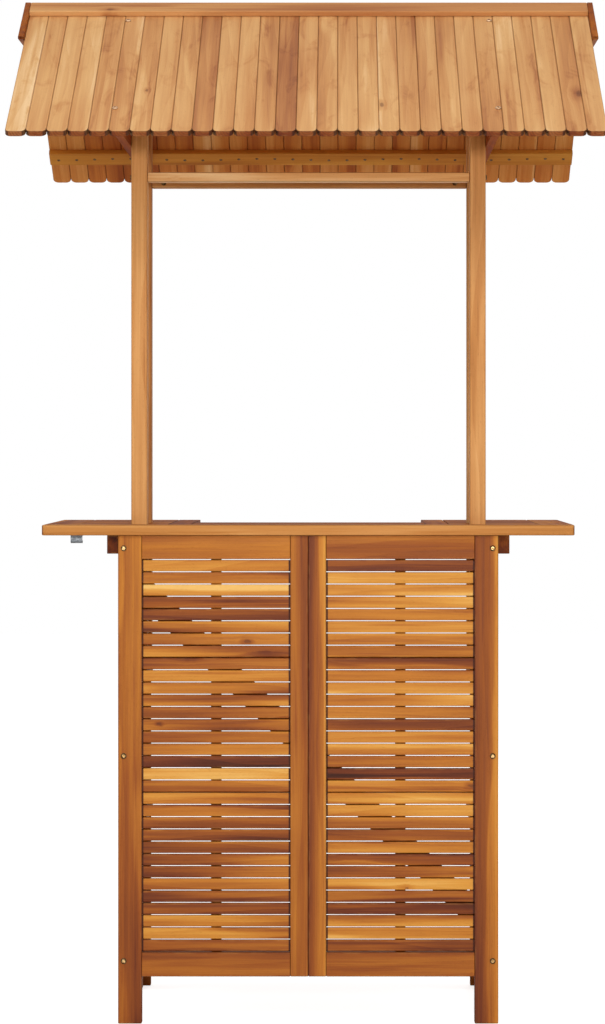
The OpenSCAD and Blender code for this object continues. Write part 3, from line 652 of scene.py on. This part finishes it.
FRONT_BOARDS = dict(knots=0.1, seam_shade=0.34, merge=False)
REAR_BOARDS = dict(knots=0.08, seam_shade=0.36, merge=False)
# The caps' lean makes them paler towards the top and darker at their lower edges: painted shade.
CAPS = dict(knots=0.3, lean=(0, 0, 0.14), bevel=0.002)
front_marks = {9: 0.48, 13: 0.46, 17: 0.74, 24: 0.68, 25: 0.66, 26: 0.7, 27: 0.66}

dress(
    "roof_front_boards", wood_roof, FRONT_SLOPE, (0.56, 0.74), marks=front_marks, **FRONT_BOARDS
)
dress("roof_rear_boards", wood_rear_roof, REAR_SLOPE, (0.44, 0.8), **REAR_BOARDS)
dress_all(("roof_front_battens", "roof_rear_battens"), wood_roof_frame, X, (0.66, 0.7), order="z")
dress_all(("ridge_cap_front", "ridge_cap_rear"), wood_ridge, X, (0.56, 0.62), **CAPS)
dress_all(("left_gable_plate", "right_gable_plate"), wood_roof_frame, Y, (0.34, 0.4))
dress_all(("left_tie", "right_tie"), wood_truss, Y, (0.3, 0.4))
dress_all(("left_rafters", "right_rafters"), wood_truss, Y, (0.35, 0.45))


# Bolts, nuts and hook

brass = metal("brass_plate", "dcb982", "8a6432", 0.4, core=0.0021, rim=0.0038)
nut_metal = metal("brass_plate_nut", "a88a58", "6b4c28", 0.42, core=0.0026, rim=0.0056)
roof_brass = metal("brass_plate_roof", "ecc9a4", "b48a62", 0.4, core=0.0014, rim=0.0066)
steel = metal("zinc_plate", "85898d", "5d6166", 0.42)
for name in ("frame_bolts", "post_bolts", "crossbar_bolts"):
    turned(name, brass)
turned("roof_bolts", roof_brass)
for name in ("frame_barrel_nuts", "crossbar_barrel_nuts"):
    turned(name, nut_metal)
nodes["wing_hook"].material_slots[0].material = steel


# Screws and brads. Places are in metres, on the faces that they are driven into.

SCREW_RADIUS, BRAD_RADIUS = 0.0034, 0.0013
HEAD_SIDES = 16
# A head from its foot to its middle: share of its radius, and height over the wood
HEAD_RINGS = ((1.0, -0.0002), (1.0, 0.0002), (0.84, 0.00045), (0.6, 0.0005), (0.3, 0.0005))
RECESS_SHARE, RECESS_DEPTH, RECESS_MIDDLE = 0.6, -0.0003, -0.0004
HAND = 0.003  # how far a hand-driven row strays from its line

ROOF_BOARDS = 29
ROOF_WIDTH = 1.196  # over the boards
ROOF_HALF = 0.61  # to the outer face of the gable plates
# The height where the slopes' faces would meet, over the boards' highest corner
ROOF_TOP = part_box("roof_front_boards")[1][2] + 0.0037
BATTENS_DOWN, BATTEN_FACE = (0.066, 0.5113), 0.024  # down the slope, and under its face
PLATE_SCREWS_DOWN, PLATE_SCREWS_DEEP = (0.05, 0.125), 0.006

SHELF_SCREWS_X = 0.359
LOWER_SHELF_TOP, UPPER_SHELF_TOP = 0.482, 0.780
LOWER_PLANKS_Y, PLANK_SCREWS = (-0.0643, 0.0, 0.0643), (-0.018, 0.018)
UPPER_SCREWS_Y = (-0.042, -0.018, 0.018, 0.042)

BRACE_BACK, BRACE_MIDDLE = -0.114, 0.57  # its inner face, and its height at x = 0
BRACE_SCREWS_X, BRACE_SCREWS_UP = (-0.355, -0.019, 0.019, 0.355), (-0.012, 0.012)
CLEAT_FACE, CLEATS_Z, CLEAT_SCREWS_Y = 0.342, (0.4415, 0.7395), (-0.108, 0.0, 0.096)
WING_RAIL_X, WING_RAIL_UNDER, WING_SCREWS_Y = 0.412, 0.988, (-0.11, 0.0, 0.15, 0.29)
COUNTER_SCREWS_X = (-0.3, -0.1, 0.1, 0.3)
FRONT_CLEAT_Y, FRONT_CLEAT_UNDER = -0.1, 1.007
REAR_RAIL_Y, REAR_RAIL_UNDER = 0.083, 0.977

SLAT_COUNT, SLAT_PITCH, SLATS_FROM = 32, 0.02578, 0.152
BRAD_DROP = 0.001  # below the middle of a slat's place
FRONT_BATTEN_X, FRONT_BATTEN_FACE = 0.194, -0.126
SIDE_BATTEN_Y, SIDE_BATTEN_FACE = 0.096, 0.376


def heads(name, spots, radius, material):
    """Cross-head screws, as one piece: spots are pairs of a place on the wood and its normal."""
    verts, faces, turn = [], [], []
    for place, normal in spots:
        chance = random.Random(f"{name} {len(verts)}")
        spin = Matrix.Rotation(chance.uniform(0, math.pi), 3, "Z")
        facing = Vector(normal).normalized().to_track_quat("Z", "Y").to_matrix() @ spin
        first = len(verts)
        for share, lift in HEAD_RINGS:
            for k in range(HEAD_SIDES):
                angle = 2 * math.pi * k / HEAD_SIDES
                x, y = math.cos(angle) * radius * share, math.sin(angle) * radius * share
                recessed = share <= RECESS_SHARE and k % 4 == 0
                flat = Vector((x, y, RECESS_DEPTH if recessed else lift))
                verts.append(Vector(place) + facing @ flat)
                turn.append((radius * share, 0, 0))
        verts.append(Vector(place) + facing @ Vector((0, 0, RECESS_MIDDLE)))
        turn.append((0, 0, 0))
        last = first + (len(HEAD_RINGS) - 1) * HEAD_SIDES
        for ring in range(first, last, HEAD_SIDES):
            for k in range(HEAD_SIDES):
                a, b = ring + k, ring + (k + 1) % HEAD_SIDES
                faces.append((a, b, b + HEAD_SIDES, a + HEAD_SIDES))
        for k in range(HEAD_SIDES):
            faces.append((last + k, last + (k + 1) % HEAD_SIDES, last + HEAD_SIDES))
    mesh = bpy.data.meshes.new(name)
    mesh.from_pydata([tuple(v) for v in verts], [], faces)
    mesh.polygons.foreach_set("use_smooth", [True] * len(mesh.polygons))
    set_vector(mesh, "turn", np.array(turn))
    obj = bpy.data.objects.new(name, mesh)
    scene.collection.objects.link(obj)
    mesh.materials.append(material)
    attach(obj, "root")


def on_roof(x, down, deep, side):
    """Point on a slope: side is -1 for the front, down the slope and deep under its face."""
    y = down * math.cos(SLOPE) - deep * math.sin(SLOPE)
    return (x, side * y, ROOF_TOP - down * math.sin(SLOPE) - deep * math.cos(SLOPE))


def batten_spots():
    """A screw through each batten at the middle of each roof board."""
    for side in (-1, 1):
        normal = (0, -side * math.sin(SLOPE), -math.cos(SLOPE))
        for down in BATTENS_DOWN:
            for i in range(ROOF_BOARDS):
                x = -ROOF_WIDTH / 2 + ROOF_WIDTH * (i + 0.5) / ROOF_BOARDS
                sway = HAND * math.sin(7.1 * i + 40 * down)
                yield on_roof(x, down + sway, BATTEN_FACE, side), normal


def plate_spots():
    for end in (-1, 1):
        for side in (-1, 1):
            for down in PLATE_SCREWS_DOWN:
                yield on_roof(end * ROOF_HALF, down, PLATE_SCREWS_DEEP, side), (end, 0, 0)


def shelf_spots():
    for x in (-SHELF_SCREWS_X, SHELF_SCREWS_X):
        for y in LOWER_PLANKS_Y:
            for dy in PLANK_SCREWS:
                yield (x, y + dy, LOWER_SHELF_TOP), Z
        for y in UPPER_SCREWS_Y:
            yield (x, y, UPPER_SHELF_TOP), Z


def frame_spots():
    """Screws of the brace, the shelf cleats, the wing rails, and what carries the counter."""
    downward = (0, 0, -1)
    for x in BRACE_SCREWS_X:
        for up in BRACE_SCREWS_UP:
            yield (x, BRACE_BACK, BRACE_MIDDLE - BRACE_FALL * x + up), Y
    for side in (-1, 1):
        for z in CLEATS_Z:
            for y in CLEAT_SCREWS_Y:
                yield (side * CLEAT_FACE, y, z), (-side, 0, 0)
    for side in (-1, 1):
        for y in WING_SCREWS_Y:
            yield (side * WING_RAIL_X, y, WING_RAIL_UNDER), downward
    for x in COUNTER_SCREWS_X:
        yield (x, FRONT_CLEAT_Y, FRONT_CLEAT_UNDER), downward
        yield (x, REAR_RAIL_Y, REAR_RAIL_UNDER), downward


def brad_spots():
    """A brad through each batten into each slat."""
    for i in range(SLAT_COUNT):
        z = SLATS_FROM + SLAT_PITCH * (i + 0.5) - BRAD_DROP
        for x in (-FRONT_BATTEN_X, FRONT_BATTEN_X):
            yield (x + HAND * math.sin(5 * i), FRONT_BATTEN_FACE, z), Y
        y = SIDE_BATTEN_Y + HAND * math.sin(4 * i)
        for side in (-1, 1):
            yield (side * SIDE_BATTEN_FACE, y, z), (-side, 0, 0)


screw = metal("dark_screw", "7d6a50", "4d3a26", 0.45, core=0.0016, rim=0.0034)
brad = metal("dark_brad", "5e4a35", "3c2a1a", 0.5, rim=0.0013)
heads("roof_batten_screws", batten_spots(), SCREW_RADIUS, screw)
heads("gable_plate_screws", plate_spots(), SCREW_RADIUS, screw)
heads("shelf_screws", shelf_spots(), SCREW_RADIUS, screw)
heads("frame_screws", frame_spots(), SCREW_RADIUS, screw)
heads("slat_brads", brad_spots(), BRAD_RADIUS, brad)


# Floor and light

FLOOR_HALF, FLOOR_DROP = 14, 0.0005
FLOOR_GLOW, SKY_LIGHT = 0.77, 0.36
GLOSSY_SHARE = 0.5  # how much of the white background shows in reflections


def shows_white(t):
    """How much of the plain white background a ray sees, from 0 to 1."""
    path = t.node("ShaderNodeLightPath").outputs
    seen = t.math("MAXIMUM", path["Is Camera Ray"], path["Is Transmission Ray"])
    return t.math("MAXIMUM", seen, t.mul(path["Is Glossy Ray"], GLOSSY_SHARE))


def floor_material():
    """White to the camera and in reflections, with the object's shadow left in."""
    t = Tree(bpy.data.materials.new("floor_white"))
    lit = t.node("ShaderNodeBsdfDiffuse")
    lit.inputs[0].default_value = (0.75, 0.75, 0.75, 1)
    glow = t.node("ShaderNodeEmission")
    t.put(glow.inputs["Strength"], t.mul(shows_white(t), FLOOR_GLOW))
    both = t.fill(t.node("ShaderNodeAddShader"), (lit.outputs[0], glow.outputs[0]))
    t.put(t.out.inputs[0], both)
    return t.owner


def background(t, strength):
    return t.fill(t.node("ShaderNodeBackground"), ((1, 1, 1, 1), strength))


def lamp(name, place, aim, size, power):
    data = bpy.data.lights.new(name, "AREA")
    data.shape = "DISK"
    data.size = size
    data.energy = power
    made = bpy.data.objects.new(name, data)
    scene.collection.objects.link(made)
    made.location = place
    made.rotation_euler = (Vector(aim) - Vector(place)).to_track_quat("-Z", "Y").to_euler()
    return made


floor_mesh = bpy.data.meshes.new("floor")
corners = [(x * FLOOR_HALF, y * FLOOR_HALF, 0) for x, y in ((-1, -1), (1, -1), (1, 1), (-1, 1))]
floor_mesh.from_pydata(corners, [], [(0, 1, 2, 3)])
floor = bpy.data.objects.new("floor", floor_mesh)
scene.collection.objects.link(floor)
floor.location.z = -FLOOR_DROP
floor_mesh.materials.append(floor_material())

scene.world = bpy.data.worlds.new("studio")
sky = Tree(scene.world, "ShaderNodeOutputWorld")
soft, plain = background(sky, SKY_LIGHT), background(sky, 1.0)
blend = sky.fill(sky.node("ShaderNodeMixShader"), (shows_white(sky), soft, plain))
sky.put(sky.out.inputs[0], blend)

lamp("key", (0.4, -6.4, 1.72), (0, 0, 1.2), 0.45, 125)
lamp("high", (-0.3, -4.5, 3.9), (0, 0, 1.4), 2.2, 80)
lamp("top", (0, -1.0, 6.0), (0, 0, 1.5), 3.0, 40)
lamp("under", (0, -2.6, 0.8), (0, 0.5, 1.95), 1.2, 3)
lamp("back", (0.8, 5.0, 3.4), (0, 0, 1.1), 2.4, 60).visible_glossy = False
lamp("left", (-5.0, -0.6, 2.4), (0, 0, 1.1), 2.2, 42)
lamp("right", (5.0, -0.6, 2.4), (0, 0, 1.1), 2.2, 42)
